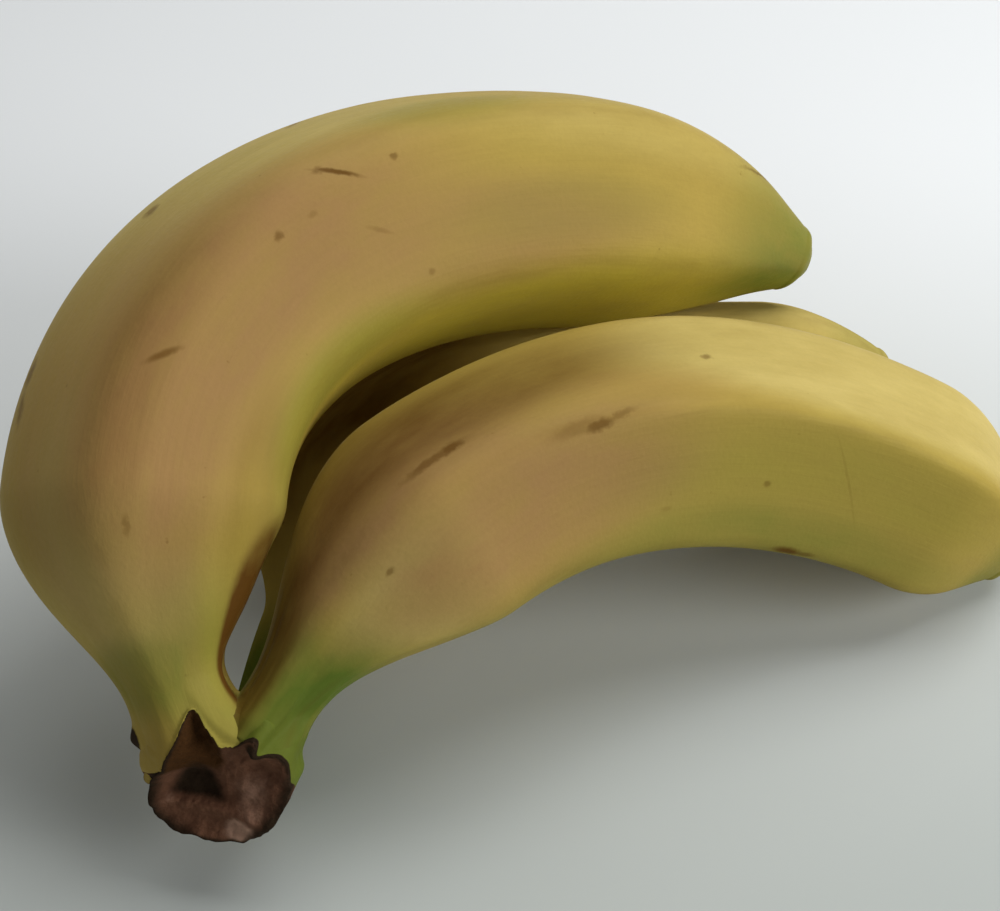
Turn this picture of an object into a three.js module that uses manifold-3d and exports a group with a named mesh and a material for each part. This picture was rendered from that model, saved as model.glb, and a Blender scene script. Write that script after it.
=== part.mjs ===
/**
 * Three bananas that share one cut crown, lying on a level surface.
 *
 * Units are millimetres, +Z is up. Looking along +Y, the crown is at the left and the tips point right.
 * The back banana lies flat on one of its faces, the front one stands on its tip and leans back, and the
 * upper one lies across the two. The origin is the middle of the whole cluster's box, on the surface.
 *
 * Each banana is a body of revolution that is bent: a lathe gives the radius along its length, and every
 * point is then carried to the curved spine and pushed in or out to give the five soft faces.
 */
import * as THREE from 'three';
import { mergeVertices } from 'three/addons/utils/BufferGeometryUtils.js';
import Module from 'manifold-3d';

const wasm = await Module();
wasm.setup();

// ---------------------------------------------------------------- driving dimensions

/**
 * heading and climb are the stem's direction: degrees to the right of +Y, and degrees above level.
 * lean rolls the plane that the banana bends in about the stem: 0 bends level to the right.
 * evenBend is the turn spread over the whole length, and neckBend the peak of the extra turn, in degrees
 * per length; the extra turn is greatest at bendCentre and fades over bendSpread, as parts of the length.
 * rootFlare is how much wider the stem is at the crown than along its length.
 * neckStart and neckEnd are where the stem starts to swell and where the body is full, along the spine.
 * faceTurn turns the five faces about the spine, neckTwist turns them further towards the stem, and
 * faceSpiral is how far they turn from one end to the other, in degrees.
 * crownReach is the length of stem that belongs to the crown.
 */
const UPPER = {
  root: [-37.9, -19.4, 16.5],
  heading: -43.4,
  climb: 41,
  lean: -3.7,
  length: 187,
  evenBend: 79.4,
  neckBend: 144,
  bendCentre: 0.307,
  bendSpread: 0.242,
  stemRadius: 7.7,
  rootFlare: 3,
  bodyRadius: 19.9,
  neckStart: 16.8,
  neckEnd: 44.3,
  taper: 48.3,
  slimming: 0.02,
  faceTurn: 10,
  neckTwist: 6,
  faceSpiral: 0,
  crownReach: 18,
};
const FRONT = {
  root: [-35.5, -16.9, 21.3],
  heading: 31.2,
  climb: 30.2,
  lean: 41.5,
  length: 157,
  evenBend: 59.5,
  neckBend: 67,
  bendCentre: 0.367,
  bendSpread: 0.293,
  stemRadius: 4.9,
  rootFlare: 2.1,
  bodyRadius: 17.4,
  neckStart: 6.7,
  neckEnd: 43.4,
  taper: 26.5,
  slimming: 0.025,
  faceTurn: -2,
  neckTwist: 15,
  faceSpiral: -32,
  crownReach: 11,
};
const BACK = {
  root: [-35.4, -11.9, 14.4],
  heading: 2,
  climb: 1.6,
  lean: 1.7,
  length: 161,
  evenBend: 56.7,
  neckBend: 154,
  bendCentre: 0.408,
  bendSpread: 0.138,
  stemRadius: 5.1,
  rootFlare: 0,
  bodyRadius: 16.3,
  neckStart: 23.9,
  neckEnd: 47.3,
  taper: 24.3,
  slimming: 0.07,
  faceTurn: -18,
  neckTwist: 0,
  faceSpiral: 0,
  crownReach: 11,
};

const TIP_RADIUS = 4; // the blunt end of a banana, where its flower dropped off
const TAPER_POWER = 1.9; // how full the body stays before it closes on the tip
const FLARE_LENGTH = 18; // of the stem's widening towards the crown
const SLIMMING_START = 0.45; // part of the length where the body starts to slim towards its tip
const SLIMMING_LENGTH = 0.5; // part of the length over which it slims
const FACES = 5;
const FACE_SHARPNESS = 6; // higher makes the faces flatter and the ridges crisper
const SOFT_PENTAGON_MEAN = 1.046; // mean radius of the pentagon whose faces are 1 from its middle
const STEM_FACETING = 0.5; // share of the faces' depth that shows on the stem
const FACETING_START = 8; // along the spine, where the faces start to deepen
const FACETING_LENGTH = 25;
const TWIST_LENGTH = 0.5; // part of the length over which the neck's twist fades

const CROWN_LUMPS = [
  { centre: [-40.3, -20.6, 17.8], radii: [10.4, 7.4, 7.4] },
  { centre: [-44.8, -18, 23], radii: [7.5, 7, 7] },
];
const CUT_POINT = [-44, -14.6, 29.9]; // where the knife cut leaves the top of the upper stem
const CUT_NORMAL = [-0.2, -0.88, 0.42]; // the cut looks forwards and a little up

const GAP = 0.3; // between neighbouring pieces
const CONTACT_DEPTH = 0.4; // how far the resting skins are pressed flat

const RING_SPACING = 4.2; // between the lathe's rings, along a banana
const SIDES = 20; // of the lathe
const SPINE_STEP = 1;
const LUMP_SIDES = 16;
const LUMP_RINGS = 10;
const CUTTER_SIZE = 400; // of the block that stands for everything beyond a plane, wider than the cluster
const WELD_DISTANCE = 1e-4; // vertices closer than this are one

// ---------------------------------------------------------------- banana shape

/** 0 below 0, 1 above 1, and an even S between. */
const ease = (x) => THREE.MathUtils.smoothstep(x, 0, 1);

const radians = THREE.MathUtils.degToRad;

/** The spine in small steps: at each its point, and the unit vector towards the inside of the bend. */
function makeSpine(banana) {
  const heading = radians(banana.heading);
  const climb = radians(banana.climb);
  const lean = radians(banana.lean);
  const forward = new THREE.Vector3(
    Math.sin(heading) * Math.cos(climb),
    Math.cos(heading) * Math.cos(climb),
    Math.sin(climb),
  );
  const right = new THREE.Vector3(Math.cos(heading), -Math.sin(heading), 0);
  const top = right.clone().cross(forward);
  const inward = right.multiplyScalar(Math.cos(lean)).addScaledVector(top, -Math.sin(lean));
  const up = inward.clone().cross(forward);

  const frames = [];
  const point = new THREE.Vector3(...banana.root);
  let turned = 0;
  for (let s = 0; s <= banana.length; s += SPINE_STEP) {
    frames.push({
      point: point.clone(),
      inward: inward.clone().multiplyScalar(Math.cos(turned)).addScaledVector(forward, -Math.sin(turned)),
    });
    const part = (s + SPINE_STEP / 2) / banana.length;
    const extra = Math.exp(-(((part - banana.bendCentre) / banana.bendSpread) ** 2));
    const turn = radians(banana.evenBend + banana.neckBend * extra) * (SPINE_STEP / banana.length);
    point.addScaledVector(forward, SPINE_STEP * Math.cos(turned + turn / 2));
    point.addScaledVector(inward, SPINE_STEP * Math.sin(turned + turn / 2));
    turned += turn;
  }
  return { frames, up };
}

/** The mean radius at a distance along the spine: stem, neck, slowly slimming body, blunt tip. */
function radiusAt(banana, s) {
  const swell = ease((s - banana.neckStart) / (banana.neckEnd - banana.neckStart));
  const slim = 1 - banana.slimming * ease((s / banana.length - SLIMMING_START) / SLIMMING_LENGTH);
  const full = (banana.stemRadius + (banana.bodyRadius - banana.stemRadius) * swell) * slim;
  const toTip = Math.min((banana.length - s) / banana.taper, 1);
  const closed = TIP_RADIUS + (full - TIP_RADIUS) * (1 - (1 - toTip) ** TAPER_POWER);
  return closed + banana.rootFlare * Math.max(1 - s / FLARE_LENGTH, 0) ** 2;
}

/** A pentagon with soft corners, as the radius in one direction; its mean over all directions is 1. */
function softPentagon(angle) {
  let sum = 0;
  for (let face = 0; face < FACES; face += 1) {
    sum += Math.max(Math.cos(angle - (face * 2 * Math.PI) / FACES), 0) ** FACE_SHARPNESS;
  }
  return sum ** (-1 / FACE_SHARPNESS) / SOFT_PENTAGON_MEAN;
}

/** The closed skin of a banana between two distances along its spine. */
function bananaGeometry(banana, from, to) {
  const profile = [new THREE.Vector2(0, from)];
  const rings = Math.ceil((to - from) / RING_SPACING);
  for (let ring = 0; ring <= rings; ring += 1) {
    const s = from + ((to - from) * ring) / rings;
    profile.push(new THREE.Vector2(radiusAt(banana, s), s));
  }
  profile.push(new THREE.Vector2(0, to));
  const geometry = new THREE.LatheGeometry(profile, SIDES);

  const { frames, up } = makeSpine(banana);
  const positions = geometry.attributes.position;
  const vertex = new THREE.Vector3();
  for (let i = 0; i < positions.count; i += 1) {
    vertex.fromBufferAttribute(positions, i);
    const s = vertex.y;
    const angle = Math.atan2(-vertex.x, vertex.z);
    const step = Math.min(Math.floor(s / SPINE_STEP), frames.length - 2);
    const blend = s / SPINE_STEP - step;
    const point = frames[step].point.clone().lerp(frames[step + 1].point, blend);
    const inward = frames[step].inward.clone().lerp(frames[step + 1].inward, blend).normalize();

    const part = s / banana.length;
    const twist = banana.neckTwist * (1 - ease(part / TWIST_LENGTH)) + banana.faceSpiral * (part - 0.5);
    const depth = STEM_FACETING + (1 - STEM_FACETING) * ease((s - FACETING_START) / FACETING_LENGTH);
    const faceting = 1 + depth * (softPentagon(angle - radians(banana.faceTurn + twist)) - 1);
    const radius = Math.hypot(vertex.x, vertex.z) * faceting;
    vertex.copy(point);
    vertex.addScaledVector(inward, radius * Math.cos(angle));
    vertex.addScaledVector(up, radius * Math.sin(angle));
    positions.setXYZ(i, vertex.x, vertex.y, vertex.z);
  }
  return geometry;
}

// ---------------------------------------------------------------- joining and cutting

/** A closed geometry as a solid: doubled vertices are merged, and the lathe's collapsed faces dropped. */
function toSolid(geometry) {
  const bare = new THREE.BufferGeometry();
  bare.setAttribute('position', geometry.attributes.position);
  bare.setIndex(geometry.index);
  const welded = mergeVertices(bare, WELD_DISTANCE);
  const corners = [];
  for (let i = 0; i < welded.index.count; i += 3) {
    const [a, b, c] = [0, 1, 2].map((k) => welded.index.getX(i + k));
    if (a !== b && b !== c && c !== a) {
      corners.push(a, b, c);
    }
  }
  return new wasm.Manifold(
    new wasm.Mesh({
      numProp: 3,
      vertProperties: Float32Array.from(welded.attributes.position.array),
      triVerts: Uint32Array.from(corners),
    }),
  );
}

/** A solid as a geometry that a mesh can show. */
function toGeometry(solid) {
  const mesh = solid.getMesh();
  const geometry = new THREE.BufferGeometry();
  geometry.setAttribute('position', new THREE.BufferAttribute(mesh.vertProperties, 3));
  geometry.setIndex(new THREE.BufferAttribute(mesh.triVerts, 1));
  geometry.computeVertexNormals();
  return geometry;
}

/** A block that fills everything on the far side of a plane, for cutting solids flat. */
function halfSpace(point, normal) {
  const block = new THREE.BoxGeometry(CUTTER_SIZE, CUTTER_SIZE, CUTTER_SIZE);
  block.translate(0, 0, CUTTER_SIZE / 2);
  const facing = new THREE.Vector3(...normal).normalize();
  block.applyQuaternion(new THREE.Quaternion().setFromUnitVectors(new THREE.Vector3(0, 0, 1), facing));
  block.translate(...point);
  return toSolid(block);
}

// ---------------------------------------------------------------- the pieces

const knifeCut = halfSpace(CUT_POINT, CUT_NORMAL);

/** A banana from the end of the crown to its tip. */
function bananaSolid(banana) {
  const skin = bananaGeometry(banana, banana.crownReach + GAP, banana.length);
  return toSolid(skin).subtract(knifeCut);
}

/** The thick tissue that the stems grow from: rounded lumps with the roots of all the stems. */
function crownSolid() {
  const roots = [UPPER, FRONT, BACK].map((banana) => bananaGeometry(banana, 0, banana.crownReach));
  const lumps = CROWN_LUMPS.map(({ centre, radii }) => {
    const lump = new THREE.SphereGeometry(1, LUMP_SIDES, LUMP_RINGS);
    lump.scale(...radii);
    lump.translate(...centre);
    return lump;
  });
  const crown = [...roots, ...lumps].map(toSolid).reduce((whole, piece) => whole.add(piece));
  return crown.subtract(knifeCut);
}

const solids = {
  crown: crownSolid(),
  upper_banana: bananaSolid(UPPER),
  front_banana: bananaSolid(FRONT),
  back_banana: bananaSolid(BACK),
};

const lowest = Math.min(...Object.values(solids).map((solid) => solid.boundingBox().min[2]));
const surface = halfSpace([0, 0, lowest + CONTACT_DEPTH], [0, 0, -1]);

const ripePeel = { color: 0xb99a4e, roughness: 0.55, metalness: 0 };
const driedCut = { color: 0x3c2c22, roughness: 0.85, metalness: 0 };
const finishes = {
  crown: driedCut,
  upper_banana: ripePeel,
  front_banana: ripePeel,
  back_banana: ripePeel,
};

const cluster = new THREE.Group();
for (const [name, solid] of Object.entries(solids)) {
  const geometry = toGeometry(solid.subtract(surface));
  const mesh = new THREE.Mesh(geometry, new THREE.MeshStandardMaterial(finishes[name]));
  mesh.name = name;
  cluster.add(mesh);
}

const box = new THREE.Box3().setFromObject(cluster);
const middle = box.getCenter(new THREE.Vector3());
cluster.position.set(-middle.x, -middle.y, -box.min.z);

export default cluster;
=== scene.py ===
"""Three ripe bananas that share one cut crown, lying on a pale surface.

Run as a script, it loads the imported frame, registers the add-on below and makes every piece with its
operators. All shapes are worked out with numpy in millimetres and put into the meshes in metres.

A banana is a round profile carried along a bent spine and pressed into five soft faces. Its patterns
follow the peel: each point of the mesh keeps its place on the straightened fruit.
"""
import itertools
import math
from dataclasses import dataclass

import bpy
import numpy as np
from mathutils import Matrix, Vector


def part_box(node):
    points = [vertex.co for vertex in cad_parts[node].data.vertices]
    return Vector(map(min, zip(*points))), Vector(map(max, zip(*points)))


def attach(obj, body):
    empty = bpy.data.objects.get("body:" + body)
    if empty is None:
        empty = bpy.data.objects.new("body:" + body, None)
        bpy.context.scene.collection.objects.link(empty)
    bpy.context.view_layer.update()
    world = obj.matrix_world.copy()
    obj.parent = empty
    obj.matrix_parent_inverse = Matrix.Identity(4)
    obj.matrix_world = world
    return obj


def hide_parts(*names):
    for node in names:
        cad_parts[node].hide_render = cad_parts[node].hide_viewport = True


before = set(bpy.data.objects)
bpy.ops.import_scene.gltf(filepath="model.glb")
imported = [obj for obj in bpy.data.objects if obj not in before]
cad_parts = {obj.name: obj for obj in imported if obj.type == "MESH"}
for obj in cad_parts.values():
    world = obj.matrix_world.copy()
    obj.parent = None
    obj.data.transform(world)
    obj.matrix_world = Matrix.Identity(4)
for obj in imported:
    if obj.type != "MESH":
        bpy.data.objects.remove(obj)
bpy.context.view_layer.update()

bl_info = {
    "name": "Banana Cluster",
    "version": (1, 0, 0),
    "blender": (4, 5, 0),
    "location": "View3D > Sidebar > Banana Cluster",
    "description": "Three ripe bananas on one dried cut crown, and the stage they lie on",
    "category": "Object",
}

MM = 0.001
CROWN_LOW, CROWN_HIGH = (np.array(corner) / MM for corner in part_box("crown"))
CROWN_MIDDLE = (CROWN_LOW + CROWN_HIGH) / 2


# ---- driving dimensions


@dataclass(frozen=True)
class Patch:
    """A soft-edged area of peel: its middle along the spine (mm) and around it (degrees).

    The reaches say where it has faded by half, and the fading takes softness times the reach.
    """

    along: float
    around: float
    reach_along: float
    reach_around: float
    strength: float
    softness: float = 1.0


@dataclass(frozen=True)
class Mark:
    """A brown fleck, dash or scar: middle, half length and half width (mm), and tilt from the spine."""

    along: float
    around: float
    length: float
    width: float
    tilt: float = 0.0
    strength: float = 0.8


@dataclass(frozen=True)
class Nub:
    """A scar or swelling of a stem, or a dent if its height is below 0: its place and sizes (mm)."""

    along: float
    around: float
    radius: float
    height: float
    dark: float


@dataclass(frozen=True)
class Fruit:
    """The driving dimensions of one banana, in mm and degrees, as its CAD solid has them.

    root is measured from the middle of the crown's box. heading and climb are the stem's direction, to
    the right of +Y and above level. lean rolls the plane of the bend about the stem. even_bend is turned
    over the whole length, and neck_bend is the peak of the extra turn, in degrees per length. crispness
    says how far the body's corners are sharpened, and gloss is the skin's specular level.
    """

    name: str
    root: tuple
    heading: float
    climb: float
    lean: float
    length: float
    even_bend: float
    neck_bend: float
    bend_centre: float
    bend_spread: float
    stem_radius: float
    body_radius: float
    neck_start: float
    neck_end: float
    taper: float
    slimming: float
    face_turn: float
    seed: int
    patches: dict  # by tint, each named as PeelSettings' colours are
    marks: tuple
    nubs: tuple = ()
    root_flare: float = 0
    face_spiral: float = 0
    neck_twist: float = 0
    gloss: float = 0.05
    crispness: float = 0


UPPER = Fruit(
    name="upper_banana", root=(1.46, -6.86, -4.64), heading=-43.4, climb=41, lean=-3.7,
    length=187, even_bend=79.4, neck_bend=144, bend_centre=0.307, bend_spread=0.242,
    stem_radius=7.7, root_flare=3, body_radius=19.9, neck_start=16.8, neck_end=44.3,
    taper=48.3, slimming=0.02, face_turn=10, neck_twist=6, seed=3,
    patches={
        "pale": (
            Patch(88, 160, 26, 42, 0.6), Patch(29, 130, 7, 60, 0.6), Patch(42, 128, 12, 30, 0.45),
            Patch(150, 118, 30, 20, 0.35),
        ),
        "golden": (Patch(140, 8, 62, 38, 0.95), Patch(36, 68, 20, 12, 0.35), Patch(75, 38, 28, 16, 0.5)),
        "tanned": (Patch(66, 97, 40, 36, 0.95), Patch(112, 66, 30, 22, 0.6), Patch(52, 150, 26, 32, 0.5)),
        # The shaded patches are painted shade on the parts of this banana that lie in shadow, such as
        # under the stem's inner side beside the gap.
        "shaded": (
            Patch(6, 140, 9, 50, 0.25), Patch(56, 116, 22, 12, 0.3), Patch(44, 60, 18, 9, 0.25),
            Patch(24, 44, 15, 15.5, 1, 0.4),
        ),
        "unripe": (
            Patch(20, 145, 5, 50, 0.5), Patch(66, 44, 30, 12, 0.35), Patch(114, 130, 12, 14, 0.25),
            Patch(128, 72, 20, 14, 0.15), Patch(14, 80, 16, 50, 0.42), Patch(190, 60, 24, 110, 0.6),
            Patch(184, 20, 16, 30, 0.35),
        ),
    },
    marks=(
        Mark(93.2, 110, 3.0, 0.34, -35, 0.85), Mark(91.0, 114, 0.68, 0.56, 0, 0.5),
        Mark(101.9, 107, 0.59, 0.48, 0, 0.55), Mark(81.0, 101, 0.68, 0.56, 20, 0.55),
        Mark(86.9, 100, 0.68, 0.48, 0, 0.25), Mark(100.8, 56, 0.59, 0.48, 0, 0.35),
        Mark(94.9, 81, 1.9, 0.37, -35, 0.25), Mark(38.4, 110, 1.1, 0.43, 0, 0.35),
        Mark(59.2, 108, 2.2, 0.43, -44, 0.65), Mark(76.8, 171, 1.19, 0.88, 40, 0.6),
        Mark(98.1, 175, 1.6, 0.62, 40, 0.5), Mark(55.6, 182, 1.36, 0.96, 0, 0.6),
        Mark(51.8, 180, 1.8, 0.74, 20, 0.55), Mark(171.2, 121, 7.0, 0.37, 20, 0.6),
    ),
    nubs=(
        Nub(12.9, 194, 1.4, 1.1, 1.0), Nub(7.6, 197, 1.2, 1.2, 0.25), Nub(17, 24, 6.5, -2.4, 0),
        Nub(25.5, 46, 10, 2.3, 0),
    ),
)
FRONT = Fruit(
    name="front_banana", root=(3.86, -4.36, 0.16), heading=31.2, climb=30.2, lean=41.5,
    length=157, even_bend=59.5, neck_bend=67, bend_centre=0.367, bend_spread=0.293,
    stem_radius=4.9, root_flare=2.1, body_radius=17.4, neck_start=6.7, neck_end=43.4,
    taper=26.5, slimming=0.025, face_turn=-2, face_spiral=-32, neck_twist=15, seed=8,
    patches={
        # The pale patch at 126 mm is partly paler peel and partly painted light, with a crisp edge along
        # the ridge where the lit top face begins.
        "pale": (Patch(126, 152, 52, 50, 0.85, 0.35), Patch(32, 82, 12, 34, 0.75)),
        "golden": (Patch(120, 78, 40, 26, 0.15),),
        # The tanned patch at 34 mm and 140 degrees is partly real tan and partly the upper banana's
        # painted cast shadow.
        "tanned": (Patch(52, 82, 26, 34, 0.85), Patch(34, 140, 20, 30, 0.9), Patch(62, 120, 22, 20, 0.4)),
        # The shaded patches are painted shade: the upper banana's cast shadow on this banana's top and
        # stem, and shade by the crown.
        "shaded": (
            Patch(54, 152, 24, 24, 0.6), Patch(32, 166, 20, 24, 0.55), Patch(12, 158, 13, 30, 0.8),
            Patch(3, 80, 8, 70, 0.2),
        ),
        "unripe": (
            Patch(2, 40, 20, 95, 1, 0.7), Patch(2, 165, 16, 40, 0.8), Patch(11, 122, 9, 24, 0.5),
            Patch(104, 64, 34, 34, 0.22), Patch(84, 30, 60, 20, 0.4), Patch(155, 60, 8, 300, 0.5),
        ),
    },
    marks=(
        Mark(44.4, 129, 4.2, 0.7, 0, 0.6), Mark(47.0, 129, 1.7, 0.8, 0, 0.75),
        Mark(65.4, 107, 2.2, 0.8, 0, 0.7), Mark(62.4, 109, 3.6, 1.0, 0, 0.3),
        Mark(68.6, 108.5, 2.2, 0.5, 8, 0.4), Mark(86.1, 140, 0.77, 0.56, 0, 0.55),
        Mark(94.4, 65, 0.68, 0.48, 0, 0.45), Mark(31.1, 103, 0.59, 0.48, 0, 0.5),
        Mark(75.5, 55, 0.9, 0.37, 0, 0.2), Mark(103.6, 29.5, 3.0, 0.74, -5, 0.9),
        Mark(107.6, 28.5, 2.2, 0.5, 0, 0.55), Mark(109.2, 73, 7.6, 0.22, -52, 0.16),
    ),
    crispness=1,
)
BACK = Fruit(
    name="back_banana", root=(3.96, 0.64, -6.74), heading=2, climb=1.6, lean=1.7,
    length=161, even_bend=56.7, neck_bend=154, bend_centre=0.408, bend_spread=0.138,
    stem_radius=5.1, body_radius=16.3, neck_start=23.9, neck_end=47.3,
    taper=24.3, slimming=0.07, face_turn=-18, seed=13,
    patches={
        # The pale patch is painted light on the strip of this banana under the upper banana's tip, which
        # the lamps leave in shadow.
        "pale": (Patch(125, 100, 36, 70, 0.9),),
        "golden": (Patch(120, 20, 50, 50, 0.6),),
        "tanned": (Patch(70, 200, 36, 60, 0.6),),
        # The shaded patch is painted shade where this banana lies deep in the gap under the upper banana.
        "shaded": (Patch(60, 128, 28, 60, 0.8),),
        "unripe": (Patch(2, 90, 19, 300, 1), Patch(157, 60, 9, 300, 0.25)),
    },
    marks=(Mark(75, 200, 3.0, 0.5, 25, 0.5), Mark(98, 165, 0.77, 0.56, 0, 0.5)),
    gloss=0,
)
FRUITS = (UPPER, FRONT, BACK)
# The shaded tint is painted shade, in cast shadows, creases and gaps between the fruits.
TINTS = ("pale", "golden", "tanned", "unripe", "shaded")  # each lies over those before it

# Lengths in mm. Where a name has two numbers, they are where something begins and how long it takes.
TIP_RADIUS = 4  # the blunt end, where the flower dropped off
TIP_KNOB = 0.7  # how much the end swells past its plain taper
TIP_KNOB_LENGTH = 6
TAPER_POWER = 1.9
FLARE_LENGTH = 18
SLIMMING = 0.45, 0.5  # this and the next are parts of the length
TWIST_LENGTH = 0.5
FACES = 5
SOFT_CORNERS, CRISP_CORNERS = 7, 18  # powers in the faces' formula
SHARPENING = 50, 35
STEM_FACETING = 0.5  # of the body's
FACETING = 8, 25
TIP_FADING = 0.85  # of the faces' depth
TIP_FADING_LENGTH = 16
SPINE_STEP = 0.1

FIRST_RING = 2  # inside the crown
ROOT_TUCK, ROOT_TUCK_LENGTH = 0.6, 3  # how much thinner the skin starts
NECK_RINGS, BODY_RINGS, END_RINGS, TIP_RINGS = 70, 170, 60, 24
NECK_PART = 0.6  # of neck_end, where the body's rings begin
END_LENGTH = 22
AROUND = 200  # points in a ring
TIP_ROUNDING = 3.0  # where the tip begins to close
TIP_DOME = 3.3  # how high it closes
SCAR_RING, SCAR_PIT, SCAR_STUB = 0.52, 0.46, 0.2  # parts of the tip's radius
SCAR_EDGE, SCAR_SOFTNESS = 0.62, 0.3  # of its dark colour, in the same measure
NUB_CONTRAST = 1.6  # of a nub's colour at its foot
CLEARANCE = 0.02  # between the floor and the lowest skin

PATTERN_RADIUS = 18  # of the cylinder that the unevenness is laid out on
BROAD_SWELLS, SMALL_SWELLS = 34, 11  # how far apart they are
SWELLING = 6, 24
CREST_WIDTH, RIDGE_WIDTH = 0.34, 0.22  # as sines of 5/2 of the angle from the ridge
CRESTING = 20, 50
CREST_CHANGES = 25
SMOOTHING = 10, 32  # of the wrinkles
WRINKLE_WIDTH = 2.4
STEM_REACH, STEM_STEP = 34, 0.8  # of the balls that stand for a stem near the crown

# The cut crown: the knife went through the stems' roots across this plane. Distances are in mm.
CUT_MIDDLE = CROWN_MIDDLE + (-0.64, -7.97, -1.14)
CUT_FACING = (-0.2, -0.88, 0.42)
# Points of the cut's outline: degrees round its middle from the right, and mm outwards and forwards.
CUT_RIM = (
    (-17, 10, 0), (8, 11.1, -0.5), (23, 11.3, -1), (34, 11, -0.8), (42, 9.6, 0), (47, 9, 0.5),
    (53, 10.8, 0.6), (60, 10.6, 0.6), (66, 7.8, 0.5), (82, 7.4, 1), (97, 9.6, 1), (106, 13.1, 0.6),
    (115, 10.2, 2.8), (126, 8.6, 3.6), (141, 7.6, 3.8), (160, 7.2, 3.2), (178, 8.6, 1.8),
    (198, 10.6, 0.3), (217, 11.4, 0), (235, 11.2, 0), (252, 9.6, 0), (270, 9.4, 0), (295, 9.7, 0),
    (315, 10, 0),
)
CROWN_LUMPS = (  # the middles and radii of the two ellipsoids that fill it between the stems
    (CROWN_MIDDLE + (-0.94, -8.06, -3.34), (10.4, 7.4, 7.4)),
    (CROWN_MIDDLE + (-5.44, -5.46, 1.86), (7.5, 7.0, 7.0)),
)
LUMP_BLEND = 0.4  # how softly the stems run into the crown
CROWN_ROOT_DEPTH = 5  # how far behind the cut the middle of the crown's body lies
CROWN_REACH = 13  # how far the crown's skin follows the stems before it dips inside them


# ---- number helpers


def ease(x):
    """0 below 0, 1 above 1, and an even S between."""
    x = np.clip(x, 0, 1)
    return x * x * (3 - 2 * x)


def rising(x, start, length):
    """0 up to a start, 1 a length further on, and an even S between."""
    return ease((x - start) / length)


def hump(x):
    """1 at 0, fading evenly to nothing by about 2 on either side."""
    return np.exp(-x * x)


def normalized(vectors):
    return vectors / np.linalg.norm(vectors, axis=-1, keepdims=True)


def turn_apart(angle, other):
    """The shortest turn from one angle to another, in degrees."""
    return (angle - other + 180) % 360 - 180


def rough(points, size, seed):
    """Smooth random values from -1 to 1 that change over a distance of size.

    Each corner of a lattice of cubes has a fixed random value, and a point takes the eight around it,
    blended along an even S.
    """
    repeat = 32
    table = np.random.default_rng(seed).uniform(-1, 1, (repeat, repeat, repeat))
    scaled = points / size
    cell = np.floor(scaled).astype(int)
    part = ease(scaled - cell)
    total = 0
    for corner in itertools.product((0, 1), repeat=3):
        at = np.moveaxis((cell + corner) % repeat, -1, 0)
        weight = np.prod(np.where(corner, part, 1 - part), axis=-1)
        total = total + weight * table[tuple(at)]
    return total


# ---- the shape of a banana


class Spine:
    """The bent middle line of a fruit: points and directions at any distances along it, in mm.

    The direction turns by even_bend + neck_bend * exp(-((part - bend_centre) / bend_spread)^2) degrees
    per length, always in one plane, and the points are the running sum of the directions.
    """

    def __init__(self, fruit):
        heading, climb, lean = np.radians([fruit.heading, fruit.climb, fruit.lean])
        forward = np.array([
            np.sin(heading) * np.cos(climb), np.cos(heading) * np.cos(climb), np.sin(climb)
        ])
        right = np.array([np.cos(heading), -np.sin(heading), 0])
        inward = right * np.cos(lean) - np.cross(right, forward) * np.sin(lean)
        self.up = np.cross(inward, forward)
        self.along = np.arange(0, fruit.length + SPINE_STEP / 2, SPINE_STEP)
        part = (self.along[:-1] + SPINE_STEP / 2) / fruit.length
        extra = hump((part - fruit.bend_centre) / fruit.bend_spread)
        turns = np.radians(fruit.even_bend + fruit.neck_bend * extra) * SPINE_STEP / fruit.length
        turned = np.concatenate([[0], np.cumsum(turns)])[:, None]
        halfway = turned[:-1] + turns[:, None] / 2
        steps = SPINE_STEP * (np.cos(halfway) * forward + np.sin(halfway) * inward)
        start = CROWN_MIDDLE + fruit.root
        self.points = start + np.concatenate([[[0, 0, 0]], np.cumsum(steps, axis=0)])
        self.directions = np.cos(turned) * forward + np.sin(turned) * inward
        self.inwards = np.cos(turned) * inward - np.sin(turned) * forward

    def at(self, along, values):
        """One of the spine's arrays at these distances."""
        return np.stack([np.interp(along, self.along, values[:, k]) for k in range(3)], axis=-1)


def radius_along(fruit, along):
    """The mean radius: stem, neck, slowly slimming body, a curve that closes on the tip, and its knob."""
    swell = rising(along, fruit.neck_start, fruit.neck_end - fruit.neck_start)
    slim = 1 - fruit.slimming * rising(along / fruit.length, *SLIMMING)
    full = (fruit.stem_radius + (fruit.body_radius - fruit.stem_radius) * swell) * slim
    to_tip = np.clip((fruit.length - along) / fruit.taper, 0, 1)
    closed = TIP_RADIUS + (full - TIP_RADIUS) * (1 - (1 - to_tip) ** TAPER_POWER)
    closed = closed + TIP_KNOB * hump((fruit.length - along) / TIP_KNOB_LENGTH)
    return closed + fruit.root_flare * np.clip(1 - along / FLARE_LENGTH, 0, 1) ** 2


def face_angle(fruit, along, around):
    """The angle round the spine counted from the middle of a face, with the faces' slow spiral."""
    part = along / fruit.length
    twist = fruit.neck_twist * (1 - ease(part / TWIST_LENGTH)) + fruit.face_spiral * (part - 0.5)
    return around - np.radians(fruit.face_turn + twist)


def pentagon(angle, sharpness):
    """The radius of five faces: the sum of cos(angle - face)^sharpness, to the power -1/sharpness."""
    total = 0
    for face in range(FACES):
        total = total + np.maximum(np.cos(angle - face * math.tau / FACES), 0) ** sharpness
    return total ** (-1 / sharpness)


def even_pentagon(angle, sharpness):
    """The same five faces with a mean radius of 1."""
    return pentagon(angle, sharpness) / pentagon(np.radians(np.arange(360)), sharpness).mean()


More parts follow.
